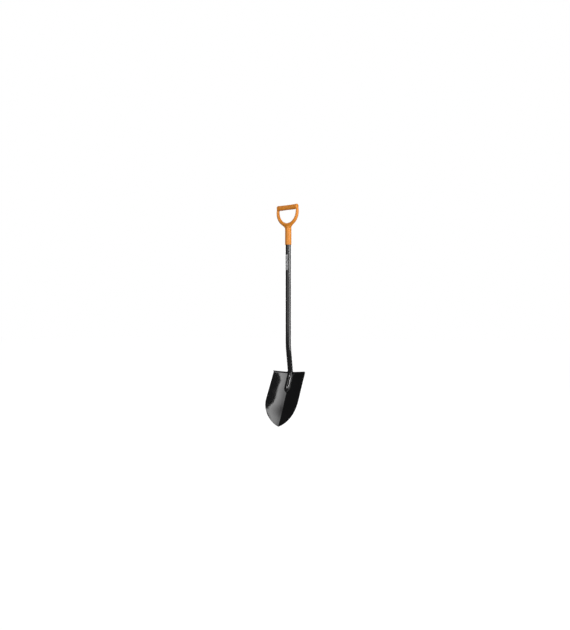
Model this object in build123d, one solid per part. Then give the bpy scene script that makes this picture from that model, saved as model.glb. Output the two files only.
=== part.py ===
from build123d import *
from math import asin, cos, degrees, radians, sin, tan
import os

# A round point shovel with a D-shaped grip, standing upright with its point down.
# Millimetres.  +Z is up, X runs across the blade, and the hollow of the blade faces -Y.
# The origin is where the tool hangs: the middle of the underside of the grip's cross bar.

# ---- steel tube shaft ----
tube_radius = 15.0
tube_wall = 1.5
shaft_y = 7.5  # the tube's straight axis lies this far behind the grip's middle plane
upper_bend_z = -775.0
upper_bend_angle = 9.0  # the tube leans back below this bend, degrees
upper_bend_radius = 280.0
crank_drop = 163.0  # height between the tube's two bends
lower_bend_radius = 85.0
nose_length = 28.0  # the tube's lower end is closed to a long dome

# ---- pressed blade ----
sheet = 2.0
blade_lean = 24.6  # the blade leans forward of the vertical, degrees
blade_length = 320.5  # along the keel, from the step to the point
blade_half_width = 106.5
step_inset = 1.5  # the steps are this much narrower, each side, than the blade
ogive_start = 173.0  # the sides turn in towards the point from here down
tip_radius = 4.5
bend_below_step = 7.5  # the tube's lower bend lies this far down the keel
tube_on_keel = 86.0  # full round tube along the keel before its dome
keel_slope = 0.19  # rise of each wing beside the keel crease
wing_radius = 588.0  # each wing curves forward on this radius
step_dish_share = 0.72  # the dish is this much shallower at the step
dish_full_at = 200.0
tip_curl = 3.5
tip_curl_from = 235.0
fold_radius = 6.0
step_flat = 6.0  # the step runs this far forward beyond its fold, beside the tube
step_flat_corner = 1.5  # and this far at its outer corners
step_skim = 0.05  # taken off the top of the steps to leave them flat
seat_gap = 0.1  # between the tube and the channel pressed for it

# ---- welds ----
bead_radius = 4.2
step_fillet = 8.0
weld_hollow = 0.4  # share of the fillet's leg; half would make its face flat
weld_under_tube = 0.6  # share of the tube's radius at which the fillet's foot begins
weld_run = 0.8  # share of the step's flat that the fillet runs forward over
weld_land = 0.2  # the steps are ground this much lower where the tube is welded to them

# ---- moulded grip ----
bar_height = 29.5
bar_depth = 27.0
bar_flat = 5.0  # left between the round corners on the bar's top and underside
bar_waist = 1.2  # the bar is this much slimmer at its middle
bar_overhang = 2.8  # the bar runs this far past the middle of each arm
bar_end_round = 5.0
arm_width = 13.4
arm_depth = 20.0
loop_half_width = 64.2  # to the middle of each arm at the widest
loop_centre_z = -9.5
loop_drop = 74.5  # from the widest place to the middle of the rod at the bottom of the D
loop_bottom_width = 21.0  # the rod thickens to this where the arms meet
neck_length = 22.0  # from the middle of the rod at the bottom of the D to the round socket
neck_rise = 9.0  # the neck's top lies this far above the middle of that rod, inside it
neck_top_half_width = 45.0
neck_top_half_depth = 3.6
# The neck's ovals: shares of the way up, to the top's width, to its depth and to its middle.
neck_ovals = [(0, 0, 0, 0), (0.29, 0.16, 0.35, 0.47), (0.65, 0.63, 0.68, 0.89), (1, 1, 1, 1)]
neck_blend = 2.0  # fillet where the neck runs into the rod
socket_length = 92.0
socket_wall = 3.05
mouth_round = 1.2
socket_fit = 0.05
tube_stop = 8.0  # the bore ends this far below the top of the socket

# ---- blind rivet through the back of the socket ----
rivet_above_mouth = 36.0
rivet_radius = 2.4
rivet_head_radius = 4.8
rivet_head_height = 1.5
rivet_head_rounding = 0.8  # share of the head's height
rivet_bulge = 0.9
rivet_tail = 3.0  # length of the bulged end inside the tube
mandrel_radius = 1.2
mandrel_cut = 0.4  # the stem is cut this far below the top of the head
rivet_clearance = 0.05

# ---- label ----
label_film = 0.3
label_below_mouth = 56.0
label_length = 88.0
label_width = 11.5

# ---- places worked out from the sizes above ----
bar_round = (bar_depth - bar_flat) / 2
bar_half_length = loop_half_width + bar_overhang
socket_radius = tube_radius + socket_fit + socket_wall
loop_bottom_z = loop_centre_z - loop_drop
socket_top_z = loop_bottom_z - neck_length
socket_bottom_z = socket_top_z - socket_length
tube_top_z = socket_top_z - tube_stop
rivet_z = socket_bottom_z + rivet_above_mouth
label_top_z = socket_bottom_z - label_below_mouth
lower_bend_z = upper_bend_z - crank_drop
step_half_width = blade_half_width - step_inset
lean = radians(blade_lean)
lower_bend_y = shaft_y + (upper_bend_z - lower_bend_z) * tan(radians(upper_bend_angle))
down_blade = Vector(0, -sin(lean), -cos(lean))
blade_top = Vector(0, lower_bend_y, lower_bend_z) - down_blade * bend_below_step
# In the blade's own frame x runs across, y is height off the keel, z runs down to the point.
blade_frame = Plane(origin=blade_top, x_dir=(1, 0, 0), z_dir=down_blade)
rivet_end = socket_radius - tube_radius + tube_wall + rivet_tail
dome_start = blade_frame.from_local_coords((0, 0, tube_on_keel))
step_top = -sheet + step_skim  # in the blade's frame, on the s axis
land_half_width = tube_radius + step_fillet
through = 200.0  # cuts that go right through are this long
overcut = 1.0  # a cut starts this far outside an open end


def to_world(shape):
    """Move a shape from the blade's own frame to its place on the shovel."""
    return shape.moved(blade_frame.location)


def tube_path():
    """The tube's axis: straight, leaning back, then down along the keel."""
    return FilletPolyline(
        (0, shaft_y, tube_top_z),
        (0, shaft_y, upper_bend_z),
        (0, lower_bend_y, lower_bend_z),
        dome_start,
        radius=[upper_bend_radius, lower_bend_radius],
    )


def shaft_envelope(grow):
    """The outer form of the closed tube, grown or shrunk all round."""
    radius = tube_radius + grow
    top = Plane(origin=(0, shaft_y, tube_top_z), z_dir=(0, 0, -1))
    tube = sweep(top * Circle(radius), path=tube_path())
    profile = EllipticalCenterArc((0, 0), nose_length + grow, radius, 0, arc_size=90)
    axis_line = Line((0, 0), (nose_length + grow, 0))
    end_line = Line((0, radius), (0, 0))
    quarter = make_face([axis_line, profile, end_line])
    dome_plane = Plane(origin=dome_start, x_dir=down_blade, z_dir=(1, 0, 0))
    dome = revolve(dome_plane * quarter, axis=Axis(dome_start, down_blade))
    return tube + dome


def make_shaft():
    """A steel tube, bent twice and closed at its lower end, with the rivet hole."""
    return shaft_envelope(0) - shaft_envelope(-tube_wall) - rivet_hole()


def face_height(x, s):
    """Height of the blade's front face at x across and s down from the step."""
    depth = step_dish_share + (1 - step_dish_share) * min(s / dish_full_at, 1.0)
    curl = tip_curl * max(0.0, (s - tip_curl_from) / (blade_length - tip_curl_from)) ** 2
    return depth * (keel_slope * x + x * x / (2 * wing_radius)) + curl


def wing_section(x):
    """The sheet cut lengthwise at x: face, fold and forward-turned step."""
    low = blade_length + fold_radius
    stations = [fold_radius + (low - fold_radius) * k / 5 for k in range(6)]
    front = [Vector(x, face_height(x, s), s) for s in stations]
    back = [p - Vector(0, sheet, 0) for p in front]
    ends = [Vector(0, 0, 1), (front[-1] - front[-2]).normalized()]
    flat = step_flat + (step_flat_corner - step_flat) * x / step_half_width
    centre = front[0] + Vector(0, fold_radius, 0)
    diagonal = Vector(0, -cos(radians(45)), -sin(radians(45)))
    outer = fold_radius + sheet
    inner_top = centre - Vector(0, 0, fold_radius)
    outer_top = centre - Vector(0, 0, outer)
    return make_face(
        [
            Spline(*front, tangents=ends),
            Line(front[-1], back[-1]),
            Spline(*back, tangents=ends),
            ThreePointArc(back[0], centre + diagonal * outer, outer_top),
            Line(outer_top, outer_top + Vector(0, flat, 0)),
            Line(outer_top + Vector(0, flat, 0), inner_top + Vector(0, flat, 0)),
            Line(inner_top + Vector(0, flat, 0), inner_top),
            ThreePointArc(inner_top, centre + diagonal * fold_radius, front[0]),
        ]
    )


def blade_outline():
    """The blade seen square on: near-parallel sides and an ogive point, cut through."""
    top = step_top
    fall = blade_length - ogive_start
    ogive = (fall**2 + blade_half_width**2) / (2 * blade_half_width)
    part_way = 0.5 * fall / ogive
    mid = (
        blade_half_width - ogive + ogive * cos(part_way),
        ogive_start + ogive * sin(part_way),
    )
    right = [
        Line((0, top), (step_half_width, top)),
        Line((step_half_width, top), (step_half_width, 0)),
        Line((step_half_width, 0), (blade_half_width, ogive_start)),
        ThreePointArc((blade_half_width, ogive_start), mid, (0, blade_length)),
    ]
    left = [edge.mirror(Plane.YZ) for edge in right]
    flat = make_face(right + left)
    point = flat.vertices().sort_by(Axis.Y)[-1]
    flat = fillet(point, tip_radius)
    across = Plane(origin=(0, -through / 2, 0), x_dir=(1, 0, 0), z_dir=(0, -1, 0))
    return extrude(across * flat, amount=-through)


def make_blade():
    """One pressing: two curved wings, the steps and the channel behind the tube."""
    wing = loft([wing_section((blade_half_width + sheet) * k / 3) for k in range(4)])
    pressing = (wing + wing.mirror(Plane.YZ)) & blade_outline()
    channel_radius = tube_radius + seat_gap
    rim = face_height(channel_radius, 0) - sheet / 2
    behind = Pos(0, rim - through / 2, through / 2 - sheet) * Box(through, through, through)
    channel = shaft_envelope(seat_gap + sheet) & to_world(behind)
    land = Pos(0, 0, step_top) * Box(2 * land_half_width, through, 2 * weld_land)
    return to_world(pressing - land) + channel - shaft_envelope(seat_gap)


def socket_column(radius, top_z, bottom_z):
    """A round column about the straight part of the shaft."""
    base = Plane(origin=(0, shaft_y, bottom_z), z_dir=(0, 0, 1))
    return extrude(base * Circle(radius), amount=top_z - bottom_z)


def grip_loop():
    """The D below the bar: one oval rod along an ellipse, its ends inside the bar."""
    past = degrees(asin((bar_height / 2 - loop_centre_z) / loop_drop))
    curve = EllipticalCenterArc(
        (0, loop_centre_z), loop_half_width, loop_drop, 180 - past, arc_size=180 + 2 * past
    )
    path = Plane.XZ * curve
    sections = []
    for place, width in ((0, arm_width), (0.5, loop_bottom_width), (1, arm_width)):
        across = Plane(origin=path @ place, x_dir=(0, 1, 0), z_dir=path % place)
        sections.append(across * Ellipse(arm_depth / 2, width / 2))
    return sweep(sections, path=path, multisection=True)


def grip_bar():
    """The cross bar the hand closes on, a little slimmer at its middle."""
    sections = []
    for x, waist in ((-bar_half_length, 0), (0, bar_waist), (bar_half_length, 0)):
        height = bar_height - waist
        plane = Plane(origin=(x, 0, height / 2), x_dir=(0, 1, 0), z_dir=(1, 0, 0))
        sections.append(plane * RectangleRounded(bar_depth - waist, height, bar_round))
    bar = loft(sections)
    ends = bar.faces().filter_by(Axis.X).edges()
    return fillet(ends, bar_end_round)


def grip_neck():
    """The round socket's top drawn forward and spread into the bottom of the D."""
    rise = neck_length + neck_rise
    sections = []
    for up, wider, flatter, forward in neck_ovals:
        height = socket_top_z + up * rise
        half_width = socket_radius + wider * (neck_top_half_width - socket_radius)
        half_depth = socket_radius + flatter * (neck_top_half_depth - socket_radius)
        plane = Plane(origin=(0, (1 - forward) * shaft_y, height), z_dir=(0, 0, 1))
        sections.append(plane * Ellipse(half_width, half_depth))
    return loft(sections)


def make_grip():
    """One moulding: bar, arms, neck and the socket that the tube is pressed into."""
    socket = socket_column(socket_radius, socket_top_z, socket_bottom_z)
    mouth = socket.edges().group_by(Axis.Z)[0]
    socket = fillet(mouth, mouth_round)
    bore = socket_column(tube_radius + socket_fit, tube_top_z, socket_bottom_z - overcut)
    loop, neck = grip_loop(), grip_neck()
    yoke = loop + neck
    yoke = fillet(new_edges(loop, neck, combined=yoke), neck_blend)
    return yoke + grip_bar() + socket - bore - rivet_hole()


def rivet_rod(radius, start, end):
    """A rod on the rivet's axis, its ends measured forward from the socket's back."""
    back = Plane(
        origin=(0, shaft_y + socket_radius - start, rivet_z), x_dir=(1, 0, 0), z_dir=(0, -1, 0)
    )
    return extrude(back * Circle(radius), amount=end - start)


def rivet_hole():
    """The hole drilled forward through the back of the socket and the tube."""
    return rivet_rod(rivet_radius + rivet_clearance, -rivet_head_radius, socket_radius)


def rivet_column(radius):
    """The length of the socket or tube around the rivet, at the given radius."""
    return socket_column(radius, rivet_z + socket_radius, rivet_z - socket_radius)


def make_rivet_body():
    """The soft sleeve of a blind rivet: a low domed head, a shank and a bulged end."""
    head = rivet_rod(rivet_head_radius, -rivet_head_height, rivet_head_height)
    crown = head.edges().group_by(Axis.Y)[-1]
    head = fillet(crown, rivet_head_rounding * rivet_head_height)
    head -= rivet_column(socket_radius)
    shank = rivet_rod(rivet_radius, -rivet_head_height / 2, rivet_end - rivet_bulge)
    bulge = rivet_rod(rivet_radius + rivet_bulge, 0, rivet_end)
    bulge = bulge & rivet_column(tube_radius - tube_wall - rivet_clearance)
    bore = rivet_rod(mandrel_radius + rivet_clearance, -socket_radius, socket_radius)
    return head + shank + bulge - bore


def make_rivet_mandrel():
    """What is left of the rivet's steel pin: a cut stem and its round head inside."""
    stem = rivet_rod(mandrel_radius, mandrel_cut - rivet_head_height, rivet_end + mandrel_radius)
    ball_y = shaft_y + socket_radius - rivet_end - rivet_radius - rivet_clearance
    ball = Pos(0, ball_y, rivet_z) * Sphere(rivet_radius)
    return stem + ball


def make_label():
    """A thin film wrapped on the front of the tube below the socket."""
    ring = socket_column(tube_radius + label_film, label_top_z, label_top_z - label_length)
    ring -= socket_column(tube_radius, label_top_z, label_top_z - label_length)
    patch = Box(label_width, 4 * tube_radius, 2 * label_length)
    return ring & (Pos(0, shaft_y - 2 * tube_radius, label_top_z) * patch)


def make_nose_weld(shaft, blade):
    """One bead up both sides of the tube and round its closed end, on the blade's face."""
    side = tube_radius + seat_gap
    height = face_height(side, dish_full_at)
    turn = nose_length + seat_gap
    right = Line((side, bead_radius), (side, tube_on_keel))
    round_nose = EllipticalCenterArc((0, tube_on_keel), side, turn, 0, arc_size=180)
    left = Line((-side, tube_on_keel), (-side, bead_radius))
    lay = Plane(origin=(0, height, 0), x_dir=(1, 0, 0), z_dir=(0, -1, 0))
    path = Wire([lay * edge for edge in (right, round_nose, left)])
    start = Plane(origin=path @ 0, z_dir=path % 0)
    bead = sweep(start * Circle(bead_radius), path=path)
    caps = [Pos(*(path @ end)) * Sphere(bead_radius) for end in (0, 1)]
    return to_world(bead + caps) - shaft_envelope(0) - blade


def make_step_weld(side):
    """A hollow fillet of weld in the corner between the step's top and the tube."""
    inner = side * weld_under_tube * tube_radius
    edge = side * (tube_radius - tube_wall / 2)
    outer = side * land_half_width
    foot = step_top + weld_land
    top = foot - step_fillet
    bowed = weld_hollow * step_fillet
    bow = Vector(side * (tube_radius + bowed), foot - bowed)
    corner = make_face(
        [
            Line((inner, foot), (outer, foot)),
            ThreePointArc((outer, foot), bow, (edge, top)),
            Line((edge, top), (inner, top)),
            Line((inner, top), (inner, foot)),
        ]
    )
    front = face_height(tube_radius, 0) + fold_radius + weld_run * step_flat
    lay = Plane(origin=(0, front, 0), x_dir=(1, 0, 0), z_dir=(0, -1, 0))
    weld = extrude(lay * corner, amount=front - fold_radius)
    return (to_world(weld) - shaft_envelope(0)).solids().sort_by(SortBy.VOLUME)[-1]


def main():
    """Build every piece and write it to its own file."""
    shaft = make_shaft()
    blade = make_blade()
    pieces = {
        "blade": blade,
        "shaft": shaft,
        "nose_weld": make_nose_weld(shaft, blade),
        "step_weld_right": make_step_weld(1),
        "step_weld_left": make_step_weld(-1),
        "grip": make_grip(),
        "rivet_body": make_rivet_body(),
        "rivet_mandrel": make_rivet_mandrel(),
        "shaft_label": make_label(),
    }
    os.makedirs("parts", exist_ok=True)
    for name, piece in pieces.items():
        export_step(piece, f"parts/{name}.step")
        print(name, round(piece.volume), piece.is_valid)


main()
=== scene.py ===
import math
import bpy
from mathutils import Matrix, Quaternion, Vector


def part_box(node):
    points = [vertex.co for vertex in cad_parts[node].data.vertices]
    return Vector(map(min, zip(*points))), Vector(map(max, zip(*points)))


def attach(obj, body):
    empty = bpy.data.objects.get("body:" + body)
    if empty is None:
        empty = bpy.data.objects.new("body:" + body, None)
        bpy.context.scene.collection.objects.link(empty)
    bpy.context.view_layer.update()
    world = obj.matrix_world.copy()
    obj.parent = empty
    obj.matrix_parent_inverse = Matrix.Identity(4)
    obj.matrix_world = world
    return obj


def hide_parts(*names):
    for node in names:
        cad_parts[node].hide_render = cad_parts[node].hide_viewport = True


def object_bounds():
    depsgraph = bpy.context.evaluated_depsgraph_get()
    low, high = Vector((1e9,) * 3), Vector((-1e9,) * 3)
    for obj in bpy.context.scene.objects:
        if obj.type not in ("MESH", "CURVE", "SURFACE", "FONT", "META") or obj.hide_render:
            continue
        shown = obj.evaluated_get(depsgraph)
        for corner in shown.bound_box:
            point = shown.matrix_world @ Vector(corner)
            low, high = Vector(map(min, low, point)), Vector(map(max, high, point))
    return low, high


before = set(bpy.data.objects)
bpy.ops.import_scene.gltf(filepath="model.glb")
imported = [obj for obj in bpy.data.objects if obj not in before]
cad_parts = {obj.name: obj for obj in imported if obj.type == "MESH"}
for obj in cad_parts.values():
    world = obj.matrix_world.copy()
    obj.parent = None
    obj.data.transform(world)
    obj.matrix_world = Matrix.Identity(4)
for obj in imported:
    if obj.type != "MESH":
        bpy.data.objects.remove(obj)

cad_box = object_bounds()

# Metres, in the row frame: the origin is the underside of the grip's bar, -Y is the
# side that the blade's hollow faces, and the point of the blade is the lowest place.
SHAFT_AXIS_Y = 0.0075
BLADE_LEAN = math.radians(24.6)

# The camera: degrees round, distance from the shaft's axis, height, how far it stands to the
# left of looking straight at that axis, lens in millimetres, and its upward shift.
AZIMUTH = 32.0
CAMERA_DISTANCE = 3.36
EYE_Z = -0.6895
ASIDE = 0.0186
LENS = 33.61
SHIFT_Y = 0.0254

# The room, with radiances where white is 1.
WORLD_FILL = 0.03
FLOOR_SIZE = 60.0
FLOOR_IN_GLOSS = 0.09  # the floor as seen in reflections
BOUNCE_SIZE = 5.0
BOUNCE_RADIANCE = 0.4
BOUNCE_ABOVE_FLOOR = 0.002

WELD_RIPPLE = 0.0024
PARTING_LINE = 0.0003  # half the width of the mould's line

# The label's scale; a stroke's reach is a share of the label's half width.
STROKE_PITCH = 0.0028
STROKE_WIDTH = 0.0016
LONG_STROKE_EVERY = 5
SHORT_REACH = 0.62
LONG_REACH = 0.9

# The handle's skin, its rounds of smoothing, and where its inner corners are.
SKIN_VOXEL = 0.0011
ALL_TURNS = 3
CORNER_TURNS = 40
NECK_Z, NECK_REACH = -0.090, 0.022
ARM_X, ARM_Z, ARM_REACH = 0.060, 0.002, 0.012


def towards(azimuth, elevation=0.0):
    """Unit vector out from the object; azimuth 0 is -Y and 90 is +X, in degrees."""
    a, e = math.radians(azimuth), math.radians(elevation)
    return Vector((math.sin(a) * math.cos(e), -math.cos(a) * math.cos(e), math.sin(e)))


def make_camera():
    """A level camera to the right of the blade's hollow, at about mid height."""
    data = bpy.data.cameras.new("camera")
    data.lens = LENS
    data.shift_y = SHIFT_Y
    camera = bpy.data.objects.new("camera", data)
    bpy.context.scene.collection.objects.link(camera)
    out = towards(AZIMUTH)
    right = towards(AZIMUTH + 90.0)
    axis = Vector((0.0, SHAFT_AXIS_Y, EYE_Z))
    camera.location = axis + out * CAMERA_DISTANCE - right * ASIDE
    camera.rotation_euler = (-out).to_track_quat("-Z", "Y").to_euler()
    bpy.context.scene.camera = camera


def area_light(name, width, height, radiance):
    """An area light that the camera doesn't see."""
    data = bpy.data.lights.new(name, "AREA")
    data.shape = "RECTANGLE"
    data.size, data.size_y = width, height
    data.energy = radiance * math.pi * width * height
    light = bpy.data.objects.new(name, data)
    bpy.context.scene.collection.objects.link(light)
    light.visible_camera = False
    return light


def softbox(name, azimuth, elevation, distance, size, radiance, aim_z, roll=0.0, fall=None):
    """An area light that faces the object; size is (width, height), roll in degrees.

    fall dims it evenly across: ("U" or "V", share of the radiance at the dim side, how far
    across that share holds).
    """
    light = area_light(name, *size, radiance)
    out = towards(azimuth, elevation)
    light.location = Vector((0.0, 0.0, aim_z)) + out * distance
    turn = Quaternion((0.0, 0.0, 1.0), math.radians(roll))
    light.rotation_euler = ((-out).to_track_quat("-Z", "Y") @ turn).to_euler()
    if fall:
        dim_across(light.data, *fall)


def dim_across(data, way, share, start):
    """Dim an area light evenly across its width (U) or height (V), from full to share.

    The last part of it, start of the way across, is all at share.
    """
    data.use_nodes = True
    nodes, links = data.node_tree.nodes, data.node_tree.links
    place = nodes.new("ShaderNodeNewGeometry").outputs["Parametric"]
    split = nodes.new("ShaderNodeSeparateXYZ")
    ramp = nodes.new("ShaderNodeMapRange")
    ramp.inputs["From Min"].default_value = start
    ramp.inputs["To Min"].default_value = share
    links.new(place, split.inputs[0])
    links.new(split.outputs["X" if way == "U" else "Y"], ramp.inputs["Value"])
    links.new(ramp.outputs["Result"], nodes["Emission"].inputs["Strength"])


def make_lights():
    """Soft boxes: high on the left for the blade's bright band, tall on the right, two in
    front, a strip for the highlight on the tube, and the rest for the back."""
    softbox("high_left", -14.5, 36.9, 2.63, (1.6, 0.55), 7.0, -1.05, -32.0, ("V", 0.05, 0.4))
    softbox("right", 85.0, 6.0, 2.6, (1.3, 2.8), 7.4, -0.45)
    softbox("front", 12.0, 9.0, 4.2, (4.2, 2.0), 3.0, -0.4, 0.0, ("U", 0.2, 0.0))
    softbox("front_high", 6.0, 20.0, 4.2, (4.0, 0.9), 7.5, -0.4)
    softbox("strip", 72.0, 30.0, 2.6, (0.18, 1.0), 34.0, -1.0)
    softbox("back_right", 178.0, 22.0, 2.8, (2.4, 1.6), 0.45, -0.45)
    softbox("back_high", 218.0, 52.0, 2.8, (1.8, 1.4), 3.0, -0.9)
    softbox("back", 210.0, 8.0, 3.2, (1.3, 2.6), 5.0, -0.5)
    softbox("left_high", -110.0, 52.0, 2.8, (1.6, 1.2), 1.6, -0.7)


def make_bounce():
    """Light thrown up by the pale floor, left out of reflections."""
    light = area_light("bounce", BOUNCE_SIZE, BOUNCE_SIZE, BOUNCE_RADIANCE)
    light.location = (0.0, 0.0, cad_box[0].z + BOUNCE_ABOVE_FLOOR)
    light.rotation_euler = (math.pi, 0.0, 0.0)
    light.visible_glossy = False


def make_world():
    """White to the eye, a low even fill to everything else."""
    world = bpy.data.worlds.new("studio")
    bpy.context.scene.world = world
    world.use_nodes = True
    nodes, links = world.node_tree.nodes, world.node_tree.links
    nodes.clear()
    seen = nodes.new("ShaderNodeBackground")
    seen.inputs["Color"].default_value = (1, 1, 1, 1)
    fill = nodes.new("ShaderNodeBackground")
    fill.inputs["Color"].default_value = (1, 1, 1, 1)
    fill.inputs["Strength"].default_value = WORLD_FILL
    path = nodes.new("ShaderNodeLightPath")
    mix = nodes.new("ShaderNodeMixShader")
    out = nodes.new("ShaderNodeOutputWorld")
    links.new(path.outputs["Is Camera Ray"], mix.inputs[0])
    links.new(fill.outputs[0], mix.inputs[1])
    links.new(seen.outputs[0], mix.inputs[2])
    links.new(mix.outputs[0], out.inputs["Surface"])


class Shade:
    """A material with one Principled shader, and short ways to add nodes to it."""

    def __init__(self, name):
        self.material = bpy.data.materials.new(name)
        self.material.use_nodes = True
        tree = self.material.node_tree
        self.nodes, self.links = tree.nodes, tree.links
        self.shader = self.nodes["Principled BSDF"]
        self.place = self.nodes.new("ShaderNodeTexCoord").outputs["Object"]

    def node(self, kind, **values):
        node = self.nodes.new(kind)
        for key, value in values.items():
            setattr(node, key, value)
        return node

    def noise(self, scale, detail=3.0, stretch=(1, 1, 1)):
        """Noise in object space, in features per metre."""
        mapping = self.node("ShaderNodeMapping")
        mapping.inputs["Scale"].default_value = stretch
        self.links.new(self.place, mapping.inputs["Vector"])
        noise = self.node("ShaderNodeTexNoise")
        noise.inputs["Scale"].default_value = scale
        noise.inputs["Detail"].default_value = detail
        self.links.new(mapping.outputs["Vector"], noise.inputs["Vector"])
        return noise.outputs["Fac"]

    def span(self, value, low, high, from_low=0.3, from_high=0.7):
        """value from one range to another."""
        ranged = self.node("ShaderNodeMapRange")
        for name, number in zip(
            ("From Min", "From Max", "To Min", "To Max"), (from_low, from_high, low, high)
        ):
            ranged.inputs[name].default_value = number
        self.links.new(value, ranged.inputs["Value"])
        return ranged.outputs["Result"]

    def mix(self, factor, one, other):
        """A colour between two, by factor."""
        mixer = self.node("ShaderNodeMix", data_type="RGBA")
        self.links.new(factor, mixer.inputs["Factor"])
        mixer.inputs["A"].default_value = (*one, 1)
        mixer.inputs["B"].default_value = (*other, 1)
        return mixer.outputs["Result"]

    def bump(self, height, distance, strength=1.0, after=None):
        """A bump of the given depth in metres."""
        node = self.node("ShaderNodeBump")
        node.inputs["Strength"].default_value = strength
        node.inputs["Distance"].default_value = distance
        self.links.new(height, node.inputs["Height"])
        if after is not None:
            self.links.new(after, node.inputs["Normal"])
        return node.outputs["Normal"]

    def maths(self, operation, one, other=None):
        """A Math node on results or plain numbers."""
        node = self.node("ShaderNodeMath", operation=operation)
        for socket, value in zip(node.inputs, (one, other)):
            if isinstance(value, bpy.types.NodeSocket):
                self.links.new(value, socket)
            elif value is not None:
                socket.default_value = value
        return node.outputs["Value"]

    def along(self, direction):
        """Distance from the origin along a direction, in metres."""
        node = self.node("ShaderNodeVectorMath", operation="DOT_PRODUCT")
        node.inputs[1].default_value = direction
        self.links.new(self.place, node.inputs[0])
        return node.outputs["Value"]

    def to(self, name, value):
        """Link a result, or set a plain value, on the shader."""
        if isinstance(value, bpy.types.NodeSocket):
            self.links.new(value, self.shader.inputs[name])
        else:
            self.shader.inputs[name].default_value = value


def black_enamel(name, low, high):
    """Black enamel: nearly black, a little uneven in gloss, with a faint orange peel."""
    m = Shade(name)
    m.to("Base Color", m.mix(m.noise(9.0), (0.0042, 0.0044, 0.0046), (0.0075, 0.0075, 0.0078)))
    m.to("Roughness", m.span(m.noise(35.0, 5.0), low, high))
    m.to("Normal", m.bump(m.noise(420.0, 1.0), 0.00002, 0.3))
    return m.material


def weld_enamel():
    """The same paint over a weld: ripples across the bead, and a duller, rougher skin."""
    m = Shade("weld_enamel")
    m.to("Base Color", m.mix(m.noise(30.0), (0.0040, 0.0042, 0.0044), (0.0080, 0.0080, 0.0082)))
    m.to("Roughness", m.span(m.noise(160.0, 4.0), 0.32, 0.5))
    m.to("Specular IOR Level", 0.3)
    along = m.along((0.0, -math.sin(BLADE_LEAN), -math.cos(BLADE_LEAN)))
    wander = m.maths("MULTIPLY", m.noise(220.0, 2.0), 0.35)
    turns = m.maths("ADD", m.maths("MULTIPLY", along, 1.0 / WELD_RIPPLE), wander)
    ripple = m.maths("PINGPONG", turns, 0.5)
    grain = m.bump(m.noise(900.0, 2.0), 0.00008, 0.4)
    m.to("Normal", m.bump(ripple, 0.0007, 0.6, grain))
    return m.material


def orange_plastic():
    """Moulded orange plastic: fine even texture and a faint line where the mould parts."""
    m = Shade("orange_plastic")
    m.to("Base Color", m.mix(m.noise(14.0), (0.465, 0.158, 0.013), (0.50, 0.174, 0.016)))
    m.to("Roughness", m.span(m.noise(60.0, 4.0), 0.38, 0.5))
    m.to("Specular IOR Level", 0.25)
    off = m.maths("ABSOLUTE", m.along((0.0, 1.0, 0.0)))
    line = m.span(off, 1.0, 0.0, 0.0, PARTING_LINE)
    texture = m.bump(m.noise(2600.0, 2.0), 0.00004, 0.5)
    m.to("Normal", m.bump(line, 0.00012, 0.6, texture))
    return m.material


def printed_film():
    """Black film with a plain scale of light grey strokes, every fifth one longer."""
    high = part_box("shaft_label")[1]
    m = Shade("label_film")
    down = m.maths("SUBTRACT", high.z, m.along((0.0, 0.0, 1.0)))
    across = m.maths("ABSOLUTE", m.along((1.0, 0.0, 0.0)))
    stroke = m.maths("LESS_THAN", m.maths("MODULO", down, STROKE_PITCH), STROKE_WIDTH)
    long_run = m.maths("MODULO", down, LONG_STROKE_EVERY * STROKE_PITCH)
    fifth = m.maths("LESS_THAN", long_run, STROKE_PITCH)
    reach = m.span(fifth, SHORT_REACH * high.x, LONG_REACH * high.x, 0.0, 1.0)
    printed = m.maths("MULTIPLY", stroke, m.maths("LESS_THAN", across, reach))
    m.to("Base Color", m.mix(printed, (0.006, 0.006, 0.0065), (0.55, 0.55, 0.56)))
    m.to("Roughness", m.span(m.noise(300.0, 3.0), 0.2, 0.3))
    m.to("Normal", m.bump(printed, 0.00003, 0.5))
    return m.material


def bare_metal(name, colour, low, high):
    """Bare metal with fine scratches that run up and down."""
    m = Shade(name)
    m.to("Metallic", 1.0)
    m.to("Base Color", m.mix(m.noise(300.0), colour, tuple(0.8 * c for c in colour)))
    m.to("Roughness", m.span(m.noise(900.0, 3.0, (1, 1, 0.1)), low, high))
    return m.material


def make_floor():
    """A plain pale floor with no shadow on it, dim in reflections."""
    bpy.ops.mesh.primitive_plane_add(size=FLOOR_SIZE, location=(0, 0, cad_box[0].z))
    floor = bpy.context.active_object
    floor.name = "floor"
    m = Shade("floor")
    m.to("Base Color", (0, 0, 0, 1))
    m.to("Roughness", 1.0)
    m.to("Emission Color", (1, 1, 1, 1))
    seen = m.node("ShaderNodeLightPath").outputs["Is Camera Ray"]
    m.to("Emission Strength", m.span(seen, FLOOR_IN_GLOSS, 1.0, 0.0, 1.0))
    floor.data.materials.append(m.material)
    floor.visible_diffuse = False


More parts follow.
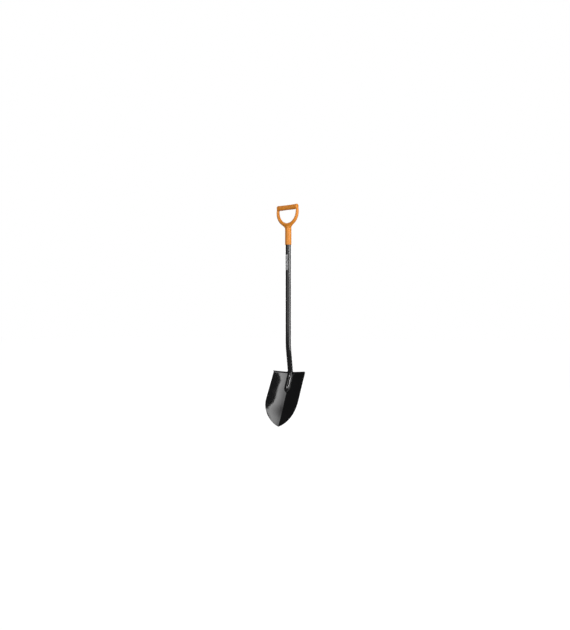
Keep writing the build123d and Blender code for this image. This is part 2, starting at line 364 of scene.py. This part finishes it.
def make_grip_skin(material):
    """The handle as moulded: the same shape, with its inner corners run together."""
    skin = bpy.data.objects.new("grip_skin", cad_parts["grip"].data.copy())
    bpy.context.scene.collection.objects.link(skin)
    remesh = skin.modifiers.new("remesh", "REMESH")
    remesh.mode = "VOXEL"
    remesh.voxel_size = SKIN_VOXEL
    remesh.use_smooth_shade = True
    settle(skin)
    corners = skin.vertex_groups.new(name="corners")
    for vertex in skin.data.vertices:
        weight = corner_weight(vertex.co)
        if weight > 0:
            corners.add([vertex.index], weight, "REPLACE")
    for name, group, turns in (("all", "", ALL_TURNS), ("corners", "corners", CORNER_TURNS)):
        smooth = skin.modifiers.new(name, "SMOOTH")
        smooth.vertex_group = group
        smooth.iterations = turns
    settle(skin)
    skin.data.materials.clear()
    skin.data.materials.append(material)
    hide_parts("grip")
    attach(skin, "root")


def corner_weight(p):
    """How much the handle's skin is smoothed at p: at the neck and at the bar's ends."""
    neck = 1 - abs(p.z - NECK_Z) / NECK_REACH
    arm = math.hypot(abs(p.x) - ARM_X, p.z - ARM_Z)
    return max(0.0, neck, 1 - arm / ARM_REACH)


def settle(piece):
    """Replace a piece's mesh by what its modifiers make of it."""
    bpy.context.view_layer.update()
    made = piece.evaluated_get(bpy.context.evaluated_depsgraph_get())
    mesh = bpy.data.meshes.new_from_object(made)
    piece.modifiers.clear()
    piece.data = mesh


def wear(node, material):
    """Give a CAD node its material."""
    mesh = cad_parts[node].data
    mesh.materials.clear()
    mesh.materials.append(material)


make_camera()
make_world()
make_lights()
make_bounce()
make_floor()

enamel = black_enamel("blade_enamel", 0.055, 0.07)
weld = weld_enamel()
wear("blade", enamel)
for name in ("nose_weld", "step_weld_left", "step_weld_right"):
    wear(name, weld)
wear("shaft", black_enamel("shaft_enamel", 0.085, 0.125))
wear("shaft_label", printed_film())
wear("rivet_body", bare_metal("rivet_alloy", (0.62, 0.63, 0.64), 0.3, 0.45))
wear("rivet_mandrel", bare_metal("rivet_steel", (0.35, 0.35, 0.36), 0.35, 0.5))
plastic = orange_plastic()
wear("grip", plastic)
make_grip_skin(plastic)

bpy.context.scene.view_settings.view_transform = "Standard"
